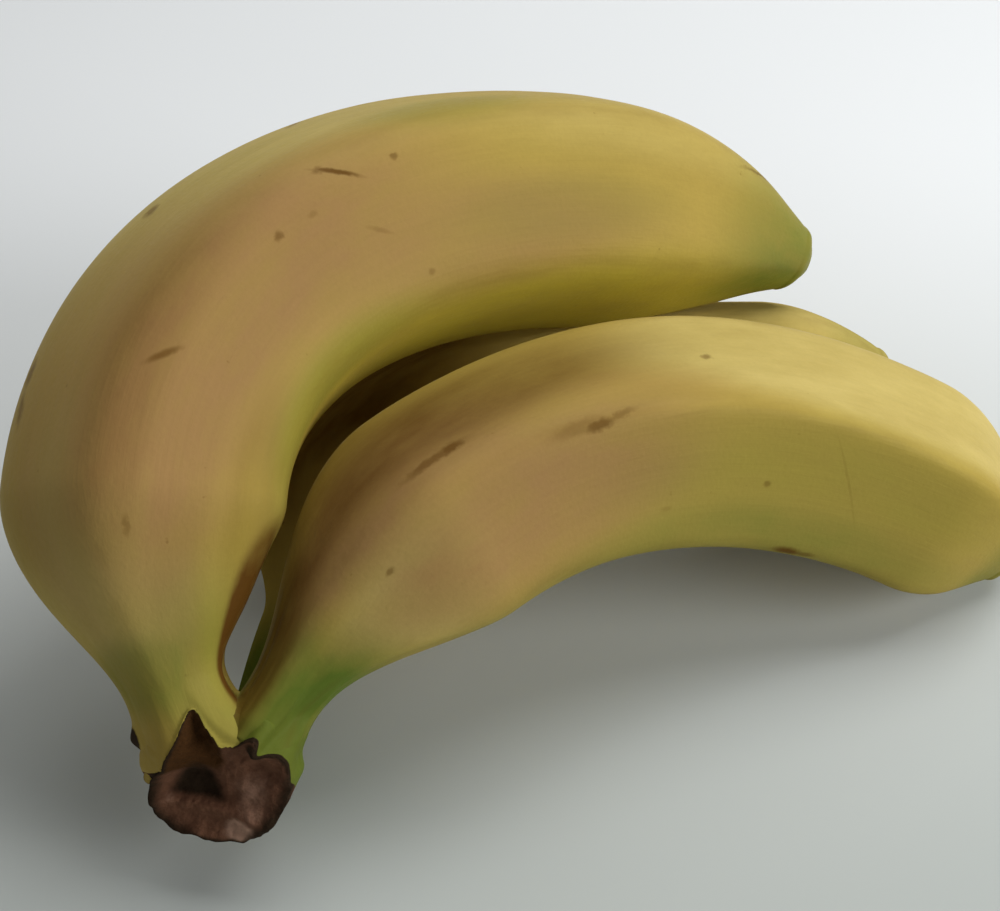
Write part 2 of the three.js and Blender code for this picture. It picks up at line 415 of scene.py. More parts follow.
def fruit_radius(fruit, along, around):
    """The radius in every direction: the mean radius, pressed into five faces.

    They deepen past the stem, their corners grow crisp over the body, and they fade at the tip.
    """
    angle = face_angle(fruit, along, around)
    crisp = fruit.crispness * rising(along, *SHARPENING)
    faces = (1 - crisp) * even_pentagon(angle, SOFT_CORNERS) + crisp * even_pentagon(angle, CRISP_CORNERS)
    depth = STEM_FACETING + (1 - STEM_FACETING) * rising(along, *FACETING)
    depth = depth * (1 - TIP_FADING * rising(along, fruit.length - TIP_FADING_LENGTH, TIP_FADING_LENGTH))
    return radius_along(fruit, along) * (1 + depth * (faces - 1))


def ridge_at(fruit, along, around, width):
    """1 on the ridges between the faces, falling to 0 on either side."""
    return hump(np.sin(face_angle(fruit, along, around) * FACES / 2 - math.pi / 2) / width)


def tint_at(fruit, tint, along, around):
    """How much of the patches of one tint covers each point, from 0 to 1."""
    bare = 1
    for patch in fruit.patches.get(tint, ()):
        lengthwise = (along - patch.along) / patch.reach_along
        aside = turn_apart(np.degrees(around), patch.around) / patch.reach_around
        distance = np.hypot(lengthwise, aside)
        bare = bare * (1 - patch.strength * ease((1 - distance) / patch.softness + 0.5))
    return 1 - bare + 0 * along


def ring_distances(fruit):
    """Where the rings of a fruit's skin lie along its spine: closest at the stem and the tip."""
    neck, end = fruit.neck_end * NECK_PART, fruit.length - END_LENGTH
    return np.concatenate([
        np.linspace(FIRST_RING, neck, NECK_RINGS, endpoint=False),
        np.linspace(neck, end, BODY_RINGS, endpoint=False),
        np.linspace(end, fruit.length - TIP_ROUNDING, END_RINGS),
    ])


def unevenness(fruit, along, around, settings):
    """How far the skin stands out from its plain shape, in mm.

    Broad and small swells, a fine crest along each ridge, and lengthwise wrinkles on the stem that fade
    over the neck.
    """
    turned = np.stack([np.cos(around) * PATTERN_RADIUS, np.sin(around) * PATTERN_RADIUS, along], axis=-1)
    swells = rough(turned, BROAD_SWELLS, fruit.seed) + 0.25 * rough(turned, SMALL_SWELLS, fruit.seed + 1)
    swells = swells * rising(along, *SWELLING)
    crest = ridge_at(fruit, along, around, CREST_WIDTH) * rising(along, *CRESTING)
    crest = crest * (0.7 + 0.3 * rough(turned, CREST_CHANGES, fruit.seed + 2))
    wrinkle = rough(turned * (0.9, 0.9, 0.05), WRINKLE_WIDTH, fruit.seed + 3)
    wrinkle = wrinkle * (1 - rising(along, *SMOOTHING))
    return (settings.unevenness * swells + settings.crest * crest + settings.wrinkle * wrinkle) / MM


def tip_scar(part):
    """Height of the flower's scar over the tip, in mm: a low ring, a pit inside it and a stub in that."""
    pit = 0.9 * ease((SCAR_PIT - part) / 0.16)
    stub = 0.8 * ease((SCAR_STUB - part) / 0.1)
    return 0.5 * hump((part - SCAR_RING) / 0.12) - pit + stub


def nub_at(nub, along, around, radius):
    """1 in the middle of a nub, falling to 0 around it, where the stem has this radius."""
    arc = np.radians(turn_apart(np.degrees(around), nub.around)) * radius
    return hump(np.hypot(along - nub.along, arc) / nub.radius)


def fruit_skin(fruit, settings):
    """The rings of a banana's skin, from inside the crown to the middle of its tip, in mm.

    A point is spine + radius * (cos(around) * inward + sin(around) * up). The tip closes in a low dome,
    TIP_DOME * sqrt(1 - part^2) high at each part of its radius, with the flower's scar in its middle.
    """
    spine = Spine(fruit)
    rings = ring_distances(fruit)
    part = np.cos(np.linspace(0, math.pi / 2, TIP_RINGS + 1)[1:-1])
    past_end = np.concatenate([0 * rings, TIP_DOME * np.sqrt(1 - part**2) + tip_scar(part)])
    narrowing = np.concatenate([1 + 0 * rings, part])
    rings = np.concatenate([rings, np.full(len(part), rings[-1])])

    turns = np.arange(AROUND) * math.tau / AROUND
    along, around = np.meshgrid(rings, turns, indexing="ij")
    radius = fruit_radius(fruit, along, around) + unevenness(fruit, along, around, settings)
    radius = radius * narrowing[:, None] - ROOT_TUCK * (1 - rising(along, FIRST_RING, ROOT_TUCK_LENGTH))
    dark = ease((SCAR_EDGE - narrowing) / SCAR_SOFTNESS)[:, None] + 0 * along
    for nub in fruit.nubs:
        bump = nub_at(nub, along, around, radius)
        radius = radius + nub.height * bump
        dark = np.maximum(dark, nub.dark * ease(bump * NUB_CONTRAST))
    inward = spine.at(rings, spine.inwards)[:, None]
    middle = spine.at(rings, spine.points) + past_end[:, None] * spine.at(rings, spine.directions)
    outward = np.cos(around)[..., None] * inward + np.sin(around)[..., None] * spine.up
    points = behind_cut(under_rim(middle[:, None] + radius[..., None] * outward))
    points[..., 2] = np.maximum(points[..., 2], CLEARANCE)
    straight = np.stack([radius * np.cos(around), radius * np.sin(around), along], axis=-1)
    values = {
        "straight": straight * MM,
        "ridge": ridge_at(fruit, along, around, RIDGE_WIDTH),
        "scar": dark,
    }
    for tint in TINTS:
        values[tint] = tint_at(fruit, tint, along, around)
    return points, values


def stem_place(fruit, points):
    """Where points lie by a fruit's stem: the gap to its skin, negative inside, and along and around it.

    The stem is taken as balls along the spine, swept together.
    """
    spine = Spine(fruit)
    along = np.arange(0, STEM_REACH, STEM_STEP)
    flat = points.reshape(-1, 3)
    offsets = flat[:, None] - spine.at(along, spine.points)
    gaps = np.linalg.norm(offsets, axis=-1) - radius_along(fruit, along)
    nearest = gaps.argmin(axis=1)
    row = np.arange(len(flat))
    aside = offsets[row, nearest]
    inward = np.sum(aside * spine.at(along, spine.inwards)[nearest], axis=-1)
    around = np.arctan2(aside @ spine.up, inward)
    gap, along = gaps[row, nearest], along[nearest]
    for nub in fruit.nubs:
        gap = gap - nub.height * nub_at(nub, along, around, fruit.stem_radius)
    return [numbers.reshape(points.shape[:-1]) for numbers in (gap, along, around)]


def crown_distance(points):
    """Distance to the crown and the stems' roots, softly joined: -k log(sum of exp(-d / k))."""
    total = 0
    for fruit in FRUITS:
        total = total + np.exp(-stem_place(fruit, points)[0] / LUMP_BLEND)
    for middle, radii in CROWN_LUMPS:
        scaled = np.linalg.norm((points - middle) / radii, axis=-1)
        total = total + np.exp(-(scaled - 1) * min(radii) / LUMP_BLEND)
    return -LUMP_BLEND * np.log(total)


# ---- the shape of the crown

CUT_NORMAL = normalized(np.array(CUT_FACING))
CUT_RIGHT = normalized(np.cross((0, 0, 1), CUT_NORMAL))
CUT_UP = np.cross(CUT_NORMAL, CUT_RIGHT)
CUT_DIRECTIONS = 360  # columns of the crown's mesh
FACE_ROWS, WALL_ROWS = 70, 80
FACE_CROWDING, WALL_CROWDING = 1.4, 1.2  # powers that bring the rows closer to the rim
CORNER_ROUNDING = 3  # degrees over which the outline's corners are eased
BOWL_EDGE, LIP_INSET, LIP_WIDTH = 5, 0.5, 0.7  # from the rim inwards
RAGGED_RADIUS = 10  # of the circle that the rim's raggedness is laid out on
OPEN_SIDE = math.radians(145)  # the direction in which the upper banana's stem stands out past the rim
RIM_SLOPES = -0.12, 0.8, 5  # how fast skin may widen behind the rim: at all, above, and on the open side
RIM_OVERHANG = 0.2
RIM_HOLDS = 5, 7  # how far behind the rim it holds the skin in: above, and how much further below
RIM_LETS_GO = 40  # how far the skin may stand out beyond that
RIM_BLEND = 0.4  # how softly it is drawn in
STEMS_APART = 22  # from the cut's middle, where the skin is too far away to be the crown's
CUT_MARGIN, CUT_DEPTH, CUT_SLOPE = 0.4, 3.8, 3  # how far the stems end under the cut
ROOT_STEPS = 14  # enough to find the crown's skin
ROOT_JOINING = 0.4  # radians over which the wall runs into the rim
ROOT_MARGIN = 0.2  # how far inside the stems' skins the wall lies
TINT_BLEND = 1.2  # how softly one stem's tints run into the next one's


@dataclass(frozen=True)
class Spot:
    """A soft oval on the cut: its middle from the cut's, its reaches (mm), and how strong it is."""

    right: float
    up: float
    reach_right: float
    reach_up: float
    strength: float

    def at(self, right, up):
        """strength * exp(-d^2), where d is the distance from the middle in reaches."""
        part = np.hypot((right - self.right) / self.reach_right, (up - self.up) / self.reach_up)
        return self.strength * hump(part)


CUT_SWELL = Spot(4.6, -4.6, 3.0, 4.0, 0.6)
# NUB_SHADE darkens the nub with painted shade, where two stems meet.
CUT_NUB, NUB_SHADE = Spot(5.8, 7.2, 1.4, 1.2, 1.8), Spot(5.8, 7.2, 1.5, 1.5, 1.3)  # where two stems meet
PALE_SPOTS = (
    Spot(3.9, -7.0, 2.0, 1.6, 2.0), Spot(5.2, -1.5, 3.6, 5.0, 0.4), Spot(-7.2, -4.2, 1.6, 1.2, 0.3)
)


def cut_rim(degrees):
    """Radius and height of the cut's rim in any direction: its points, with eased corners, in mm."""
    around = np.arange(360)
    reach = 4 * CORNER_ROUNDING
    kernel = hump(np.arange(-reach, reach + 1) / CORNER_ROUNDING)
    angles, *measures = np.array(CUT_RIM).T
    found = []
    for measure in measures:
        values = np.interp(around, angles, measure, period=360)
        wrapped = np.concatenate([values[-reach:], values, values[:reach]])
        eased = np.convolve(wrapped, kernel / kernel.sum(), "valid")
        found.append(np.interp(degrees, around, eased, period=360))
    return found


def in_cut(points):
    """Coordinates of points from the cut's middle: to the right and up in its plane, and forwards."""
    offsets = points - CUT_MIDDLE
    return offsets @ CUT_RIGHT, offsets @ CUT_UP, offsets @ CUT_NORMAL


def under_rim(points):
    """Skin that stands out past the rim just behind the cut is drawn in, so that it runs back from it.

    The most that it may reach is the rim's radius + a slope * how far it lies behind the rim, and
    RIM_LETS_GO once the rim no longer holds it. What is over that goes, softly: k log(1 + exp(over / k)).
    """
    right, up, forward = in_cut(points)
    around = np.arctan2(up, right)
    rim_radius, rim_height = cut_rim(np.degrees(around))
    distance = np.hypot(right, up)
    behind = np.maximum(rim_height - forward, 0)
    above, below = rising(np.sin(around), -0.1, 0.9), ease((0.5 - np.sin(around)) / 0.7)
    open_side = rising(np.cos(around - OPEN_SIDE), -0.1, 0.5)
    slope = RIM_SLOPES[0] + RIM_SLOPES[1] * above + RIM_SLOPES[2] * open_side
    let_go = RIM_LETS_GO * rising(behind, RIM_HOLDS[0] + RIM_HOLDS[1] * below, 10) ** 2
    over = (distance - (rim_radius + RIM_OVERHANG + slope * behind + let_go)) / RIM_BLEND
    excess = RIM_BLEND * (np.log1p(np.exp(-np.abs(over))) + np.maximum(over, 0))
    moved = -excess * ease((STEMS_APART - distance) / 6) / np.maximum(distance, 1)
    return points + (moved * right)[..., None] * CUT_RIGHT + (moved * up)[..., None] * CUT_UP


def behind_cut(points):
    """What the knife took away is pushed back under the cut: a little at the rim and deeper inside."""
    right, up, forward = in_cut(points)
    rim_radius, rim_height = cut_rim(np.degrees(np.arctan2(up, right)))
    distance = np.hypot(right, up)
    below = CUT_MARGIN + CUT_DEPTH * ease((rim_radius - distance) / CUT_SLOPE)
    push = np.maximum(forward - cut_height(distance / rim_radius, rim_height) + below, 0)
    return points - np.where(distance < rim_radius, push, 0)[..., None] * CUT_NORMAL


def cut_height(part, rim_height):
    """The cut rises from its middle to its rim as the square of the distance."""
    return rim_height * part**2


def hollow_at(right, up):
    """1 inside the hollow of the cut, a soft triangle with a crisp level lower edge, and 0 outside.

    It narrows upwards from a half width of 4.4 mm to 0.8 mm.
    """
    half_width = 0.8 + 3.6 * np.clip((4.5 - up) / 8, 0, 1)
    sides = ease((half_width - np.abs(right + 3.2)) / 3.6 + 0.5)
    return sides * ease((up + 3.6) / 1.1 + 0.5) * ease((5.5 - up) / 6.0)


def cut_relief(right, up, from_rim, settings):
    """Height of the dried cut over its plane, in mm.

    A shallow bowl, the hollow, a swell and a level ridge below it, a curled lip along the rim, a nub
    where two stems meet, and a rough torn grain.
    """
    place = np.stack([right, up, 0 * right], axis=-1)
    bowl = -settings.bowl / MM * ease(from_rim / BOWL_EDGE)
    swell = CUT_SWELL.at(right, up) + 0.8 * hump((up - CUT_SWELL.up) / 1.2)
    lip = settings.lip / MM * hump((from_rim - LIP_INSET) / LIP_WIDTH)
    lip = lip * (0.6 + 0.5 * rough(place, 3.1, 21))
    grain = 0.34 * rough(place, 2.7, 22) + 0.2 * rough(place, 1.2, 23) + 0.09 * rough(place, 0.55, 24)
    hollow = settings.hollow / MM * hollow_at(right, up)
    return bowl - hollow + swell + lip + CUT_NUB.at(right, up) + settings.grain * grain


def crown_wall(rim, in_plane):
    """The rows of the crown's skin from its rim, whose directions in the cut's plane are given.

    From a point behind the cut, the distance in each direction at which crown_distance is 0, found by
    stepping outwards by the distance that is left, and eased into the rim.
    """
    inside = CUT_MIDDLE - CROWN_ROOT_DEPTH * CUT_NORMAL
    rim = rim - inside
    rim_distance = np.linalg.norm(rim, axis=-1)
    rim_angle = np.arccos((rim @ CUT_NORMAL) / rim_distance)
    row = np.linspace(0, 1, WALL_ROWS + 2)[:-1, None] ** WALL_CROWDING
    angle = rim_angle + (math.pi - rim_angle) * row
    direction = np.cos(angle)[..., None] * CUT_NORMAL + np.sin(angle)[..., None] * in_plane
    reach = np.full(angle.shape, 3.0)
    for _ in range(ROOT_STEPS):
        left = crown_distance(inside + reach[..., None] * direction)
        reach = np.clip(reach - left, 1, CROWN_REACH)
    joining = 1 - ease((angle - rim_angle) / ROOT_JOINING)
    reach = reach - ROOT_MARGIN + (rim_distance - reach[0] + ROOT_MARGIN) * joining
    wall = inside + reach[..., None] * direction
    ripples = 0.3 * rough(wall, 2.8, 33) + 0.14 * rough(wall, 1.1, 34)
    return under_rim(wall + (ripples * (1 - joining**8) * 0.6)[..., None] * direction)


def face_colors(right, up, from_rim, turns):
    """The cut's colours: painted shade along the rim, in the hollow and at the nub, a browner torn strip,
    and pale spots.
    """
    lower_right, lower_left = np.cos(turns + math.radians(20)), np.cos(turns - math.radians(212))
    rim_width = 0.7 + 1.5 * ease((lower_right - 0.7) / 0.3) + 1.3 * ease((lower_left - 0.6) / 0.4)
    shade = np.maximum(0.8 * hump(from_rim / rim_width), 0.8 * hollow_at(right, up))
    shade = np.maximum(shade, NUB_SHADE.at(right, up))
    pale = np.max([spot.at(right, up) for spot in PALE_SPOTS], axis=0)
    tongue = ease((up + 0.5) / 4.0) * ease((2.0 - right) / 3.0)
    return {"brown": np.ones(right.shape), "shade": shade, "fresh": pale, "tongue": tongue}


def wall_colors(wall, ragged, turns):
    """The wall's: painted shade just below the rim, and brown for a little way, further at the bottom,
    then peel.
    """
    steps = np.linalg.norm(np.diff(wall, axis=0), axis=-1)
    behind = np.concatenate([np.zeros((1, CUT_DIRECTIONS)), np.cumsum(steps, axis=0)])[1:]
    downwards = ease((0.25 - np.sin(turns)) / 0.6)
    brown_reach = 0.3 + 5.0 * downwards + 0.4 * rough(ragged, 3.0, 35)
    brown = 1 - ease((behind - brown_reach) / (0.5 + 1.5 * downwards))
    shade = 0.85 * hump((behind - 0.4) / 1.8)
    return {"brown": brown, "shade": shade, "fresh": 0 * behind, "tongue": 0 * behind}


def crown_skin(settings):
    """The rows of the crown's skin, from the middle of the cut over its rim to a point inside the stems.

    The cut: middle + part of the rim's radius, at the height that its relief gives. The wall follows.
    """
    degrees = np.arange(CUT_DIRECTIONS) * 360 / CUT_DIRECTIONS
    turns = np.radians(degrees)
    in_plane = np.cos(turns)[:, None] * CUT_RIGHT + np.sin(turns)[:, None] * CUT_UP
    rim_radius, rim_height = cut_rim(degrees)
    ragged = RAGGED_RADIUS * np.stack([np.cos(turns), np.sin(turns), 0 * turns], axis=-1)
    rim_radius = rim_radius + 0.28 * rough(ragged, 2.4, 31) + 0.12 * rough(ragged, 0.9, 32)

    part = 1 - (1 - np.linspace(0, 1, FACE_ROWS + 1)[1:, None]) ** FACE_CROWDING
    distance = part * rim_radius
    right, up = distance * np.cos(turns), distance * np.sin(turns)
    from_rim = rim_radius - distance
    forward = cut_height(part, rim_height) + cut_relief(right, up, from_rim, settings)
    face = CUT_MIDDLE + distance[..., None] * in_plane + forward[..., None] * CUT_NORMAL
    wall = crown_wall(face[-1], in_plane)

    rows = np.concatenate([face, wall[1:]])
    on_face, on_wall = face_colors(right, up, from_rim, turns), wall_colors(wall, ragged, turns)
    values = {key: np.concatenate([on_face[key], on_wall[key]]) for key in on_face}
    return rows, values | stem_tints(rows)


def stem_tints(points):
    """The tints of the skin near the roots: each stem's own there, weighted by how near its side is."""
    right = in_cut(points)[0]
    sides = (right, -right, -right)  # the upper banana's stem is the left one
    places = [stem_place(fruit, points) for fruit in FRUITS]
    weights = [np.exp(-(place[0] + side) / TINT_BLEND) for place, side in zip(places, sides)]
    tints = {}
    for tint in TINTS:
        each = [tint_at(fruit, tint, *place[1:]) for fruit, place in zip(FRUITS, places)]
        tints[tint] = sum(weight * one for weight, one in zip(weights, each)) / sum(weights)
    return tints


# ---- meshes


def closed_mesh(name, rows, values):
    """A mesh in metres of the rings given in mm: quads between neighbours, and a fan over either end.

    values are point attributes, each with one number or vector for every point of the rings.
    """
    count, across = rows.shape[:2]
    index = np.arange(count * across).reshape(count, across)
    beside = np.roll(index, -1, axis=1)
    first, last = np.full(across, count * across), np.full(across, count * across + 1)
    quads = np.stack([index[:-1], index[1:], beside[1:], beside[:-1]], axis=-1).reshape(-1, 4)
    fans = np.concatenate([
        np.stack([first, index[0], beside[0]], axis=-1),
        np.stack([last, beside[-1], index[-1]], axis=-1),
    ])
    points = with_poles(rows) * MM
    a, b, c, d = np.moveaxis(points[quads], 1, 0)
    if np.sum(a * (np.cross(b, c) + np.cross(c, d))) <= 0:  # about six times the volume inside
        raise RuntimeError(f"{name}: the faces point inwards")
    mesh = bpy.data.meshes.new(name)
    mesh.from_pydata(points.tolist(), [], quads.tolist() + fans.tolist())
    for key, numbers in values.items():
        vector = numbers.ndim == 3
        attribute = mesh.attributes.new(key, "FLOAT_VECTOR" if vector else "FLOAT", "POINT")
        attribute.data.foreach_set("vector" if vector else "value", with_poles(numbers).ravel())
    mesh.shade_smooth()
    mesh.update()
    return mesh


def with_poles(numbers):
    """A flat list of the rings' points, followed by the mean of the first ring and of the last."""
    flat = numbers.reshape(-1, *numbers.shape[2:])
    return np.concatenate([flat, [numbers[0].mean(axis=0)], [numbers[-1].mean(axis=0)]])


def add_piece(mesh, material, node):
    """Put a finished skin into the scene, in place of the CAD node that it stands for."""
    piece = bpy.data.objects.new(mesh.name, mesh)
    bpy.context.scene.collection.objects.link(piece)
    mesh.materials.append(material)
    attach(piece, "root")
    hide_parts(node)


# ---- materials


def linear(red, green, blue):
    """A display colour given from 0 to 255 as the linear colour that a colour property holds."""
    parts = [part / 255 for part in (red, green, blue)]
    return tuple(part / 12.92 if part <= 0.04045 else ((part + 0.055) / 1.055) ** 2.4 for part in parts)


def opaque(color):
    """A colour property as the four numbers of a colour socket."""
    return (*color, 1)


def operator(operation, swapped=False):
    """A method of Wire that adds a node of this operation, with its sides swapped if it is reflected."""
    def method(self, other):
        return self.combine(operation, other, self) if swapped else self.combine(operation, self, other)
    return method


class Wire:
    """A socket of a shader. Python's operators on it add the Math or Vector Math nodes they stand for."""

    def __init__(self, shader, socket):
        self.shader = shader
        self.socket = socket

    def combine(self, operation, first, second):
        """A Math node, or a Vector Math node if either end is a vector. A number goes into each axis."""
        ends = [first, second]
        if not any(isinstance(end, Wire) and end.socket.type == "VECTOR" for end in ends):
            return self.shader.node("Math", dict(enumerate(ends)), operation=operation)
        ends = [(end,) * 3 if isinstance(end, (int, float)) else end for end in ends]
        return self.shader.node("VectorMath", dict(enumerate(ends)), operation=operation)

    __add__, __radd__ = operator("ADD"), operator("ADD", swapped=True)
    __sub__, __rsub__ = operator("SUBTRACT"), operator("SUBTRACT", swapped=True)
    __mul__, __rmul__ = operator("MULTIPLY"), operator("MULTIPLY", swapped=True)
    __truediv__, larger = operator("DIVIDE"), operator("MAXIMUM")

    def clamped(self):
        return self.shader.node("Clamp", {"Value": self})

    def length(self):
        return self.shader.node("VectorMath", {0: self}, output="Value", operation="LENGTH")

    def between(self, low, high):
        """0 at low, 1 at high, and an even S between. low may be above high."""
        if low > high:
            return 1 - self.between(high, low)
        inputs = {"Value": self, "From Min": low, "From Max": high}
        return self.shader.node("MapRange", inputs, interpolation_type="SMOOTHSTEP")


class Shader:
    """The nodes of a new material or of the world, which is its owner."""

    def __init__(self, owner):
        owner.use_nodes = True
        self.owner = owner
        self.tree = owner.node_tree
        self.tree.nodes.clear()

    def node(self, kind, inputs, output=0, **settings):
        """Add a node: its settings first, then each input's value or wire. Returns one output, if any."""
        added = self.tree.nodes.new("ShaderNode" + kind)
        for name, setting in settings.items():
            setattr(added, name, setting)
        for key, value in inputs.items():
            if isinstance(value, Wire):
                self.tree.links.new(value.socket, added.inputs[key])
            else:
                added.inputs[key].default_value = value
        return Wire(self, added.outputs[output]) if added.outputs else None

    def attribute(self, name, output="Fac"):
        return self.node("Attribute", {}, output=output, attribute_name=name)

    def noise(self, place, size, detail=2.0, roughness=0.5):
        """Soft random values around 0.5 that change over a distance of size."""
        inputs = {"Vector": place, "Scale": 1 / size, "Detail": detail, "Roughness": roughness}
        return self.node("TexNoise", inputs)

    def mixed(self, share, first, second):
        """One colour running into another as share goes from 0 to 1."""
        first, second = (end if isinstance(end, Wire) else opaque(end) for end in (first, second))
        return self.node("Mix", {0: share, 6: first, 7: second}, output=2, data_type="RGBA")

    def shaded(self, color, amount):
        """A colour times a number."""
        return self.node("VectorMath", {0: color, 3: amount}, operation="SCALE")

    def finish(self, surface):
        self.node("OutputMaterial", {"Surface": surface})
        return self.owner

    def finish_relief(self, color, roughness, gloss, height, strength, distance):
        """Finish a matt surface, whose height from 0 to 1 stands for a distance in metres."""
        normal = self.node("Bump", {"Strength": strength, "Distance": distance, "Height": height})
        return self.finish(self.node("BsdfPrincipled", {
            "Base Color": color, "Roughness": roughness, "Normal": normal, "Specular IOR Level": gloss,
        }))


MARK_DEPTH = 5  # mm that a mark reaches through, so that it stays on one side of the fruit
PEEL_RELIEF, CRUMB_RELIEF = (0.35, 0.25 * MM), (0.6, 0.5 * MM)  # strength and distance
CROWN_GLOSS = 0.05
CLOUDS, WEAR, FIBRES = (1, 1, 0.45), (1, 1, 0.3), (1, 1, 0.05)  # patterns stretched along the fruit


def mark_distance(shader, place, fruit, mark):
    """Distance from a mark's middle as a part of its half size, in its own turned and stretched axes."""
    around = math.radians(mark.around)
    out = Vector((math.cos(around), math.sin(around), 0))
    aside = Vector((-math.sin(around), math.cos(around), 0))
    lengthwise = Vector((0, 0, 1))
    tilt = math.radians(mark.tilt)
    long_way = math.cos(tilt) * lengthwise + math.sin(tilt) * aside
    axes = Matrix((long_way, out.cross(long_way), out)).transposed()
    radius = float(fruit_radius(fruit, np.array(mark.along), np.array(around)))
    inputs = {
        "Vector": place,
        "Location": radius * out + mark.along * lengthwise,
        "Rotation": axes.to_euler(),
        "Scale": (mark.length, mark.width, MARK_DEPTH),
    }
    return shader.node("Mapping", inputs, vector_type="TEXTURE").length()


def peel_color(shader, place, settings):
    """The colours of the peel: soft tints over the ripe yellow, among them painted shade and painted
    light, faintly cloudy and fibrous.
    """
    stretched = place * CLOUDS
    clouds = shader.noise(stretched, 9.0, 3.0, 0.6) - 0.5
    blotches = shader.noise(stretched, 3.2, 3.0, 0.6) - 0.5
    grains = shader.noise(place, 0.6, 2.0) - 0.5
    fibres = shader.noise(place * FIBRES, 0.7, 3.0, 0.65) - 0.5
    broken = 1 + clouds * 0.9 + blotches * 0.5
    color = settings.ripe
    for tint in TINTS:
        share = (shader.attribute(tint) * broken).clamped()
        color = shader.mixed(share, color, getattr(settings, tint))
    return shader.shaded(color, 1 + clouds * 0.14 + blotches * 0.12 + fibres * 0.1 + grains * 0.08)


def peel_material(fruit, settings):
    """The skin of one banana: its colours, ridges, brown marks, dark tip and fine lengthwise relief."""
    shader = Shader(bpy.data.materials.new(f"{fruit.name}_peel"))
    place = shader.attribute("straight", "Vector") / MM
    ridge, scar = shader.attribute("ridge"), shader.attribute("scar")
    color = peel_color(shader, place, settings)

    # The ridges' wear is drawn in the same brown that the shaded tint uses as painted shade.
    worn = ridge * shader.noise(place * WEAR, 4.0, 3.0).between(0.3, 0.8)
    color = shader.mixed(worn * 0.2, color, settings.shaded)
    freckles = shader.noise(place, 2.2, 2.0, 0.5).between(0.74, 0.8)
    color = shader.mixed(freckles * 0.35, color, settings.marked)

    wander = shader.node("TexNoise", {"Vector": place, "Scale": 1.1, "Detail": 2.0}, output=1)
    ragged = place + (wander - 0.5) * 1.1
    marks = 0
    for mark in fruit.marks:
        depth = mark_distance(shader, ragged, fruit, mark).between(1.6, 0.4) * mark.strength
        marks = depth if marks == 0 else marks.larger(depth)
    color = shader.mixed(marks, color, settings.marked)
    burnt = (scar + (shader.noise(place, 1.4, 3.0) - 0.5) * 0.7).between(0.15, 0.6)
    color = shader.mixed(burnt, color, settings.tip)

    fibre_relief = shader.noise(place * FIBRES, 0.6, 3.0, 0.6)
    pore_relief = shader.noise(place, 0.8, 2.0)
    height = fibre_relief * 0.6 + pore_relief * 0.5 - marks * 0.5 + burnt * shader.noise(place, 0.7, 3.0)
    roughness = settings.roughness + (pore_relief - 0.5) * 0.2 + burnt * 0.35
    return shader.finish_relief(color, roughness, fruit.gloss, height, *PEEL_RELIEF)


def crown_material(peel, settings):
    """The dried cut: pinkish brown pulp, with painted shade in the hollow and along the rim, over the
    stems' skin.
    """
    shader = Shader(bpy.data.materials.new("crown_dried"))
    place = shader.node("TexCoord", {}, output="Object") / MM
    brown, shade = shader.attribute("brown"), shader.attribute("shade")
    fresh, tongue = shader.attribute("fresh"), shader.attribute("tongue")
    peel_skin = peel_color(shader, place, peel)

    lumps = shader.noise(place, 3.4, 4.0, 0.65) - 0.5
    crumbs = shader.noise(place, 0.9, 4.0, 0.7) - 0.5
    freshness = (fresh + lumps * 0.6).between(0.1, 0.9)
    color = shader.mixed(freshness, settings.pulp, settings.fresh)
    color = shader.mixed((tongue + lumps * 0.4).between(0.1, 0.8), color, settings.tongue)
    # Painted shade where the shade attribute is high, and dark dried pulp where the lumps and crumbs run
    # dark.
    dark = (shade + lumps * 0.7 + crumbs * 0.4).between(0.15, 0.85)
    color = shader.mixed(dark, color, settings.shadow)
    color = shader.shaded(color, 1 + lumps * 0.5 + crumbs * 0.9)
    dried = (brown + lumps * 0.3 + crumbs * 0.15).between(0.3, 0.6)
    color = shader.mixed(dried, peel_skin, color)

    height = crumbs * 1.2 + shader.noise(place, 0.35, 3.0, 0.6) * 0.5
    height = height * (dried + 0.15)
    return shader.finish_relief(color, 0.5 + dried * 0.38, CROWN_GLOSS, height, *CRUMB_RELIEF)


def floor_material(settings):
    """A plain matt floor, darker towards the front as painted shade where the light falls off, that runs
    into the backdrop far away.
    """
    shader = Shader(bpy.data.materials.new("floor_plain"))
    place = shader.node("TexCoord", {}, output="Object") / MM
    backwards = shader.node("SeparateXYZ", {0: place}, output="Y").between(FLOOR_FRONT, FLOOR_BACK)
    color = shader.mixed(backwards, settings.floor_front, settings.floor_back)
    inputs = {"Base Color": color, "Roughness": FLOOR_ROUGHNESS, "Specular IOR Level": FLOOR_GLOSS}
    surface = shader.node("BsdfPrincipled", inputs)
    backdrop = shader.node("Emission", {"Color": opaque(settings.backdrop)})
    distant = place.length().between(FLOOR_FADES, FLOOR_FADED) * background_rays(shader)
    return shader.finish(shader.node("MixShader", {0: distant, 1: surface, 2: backdrop}))


def background_rays(shader):
    """1 where the camera sees the background, straight or by a mirror image or through glass."""
    kinds = ("Camera", "Glossy", "Transmission")
    camera, glossy, transmission = (shader.node("LightPath", {}, f"Is {kind} Ray") for kind in kinds)
    return (camera + glossy + transmission).clamped()


# ---- what a user may change


def color_property(name, description, red, green, blue):
    return bpy.props.FloatVectorProperty(
        name=name, description=description, default=linear(red, green, blue),
        subtype="COLOR", size=3, min=0, max=1,
    )


def length_property(name, description, metres, least=0, most=5 * MM):
    return bpy.props.FloatProperty(
        name=name, description=description, default=metres,
        unit="LENGTH", precision=5, min=least, max=most,
    )


def strength_property(name, description, strength, most=2):
    return bpy.props.FloatProperty(
        name=name, description=description, default=strength, subtype="FACTOR", min=0, max=most,
    )


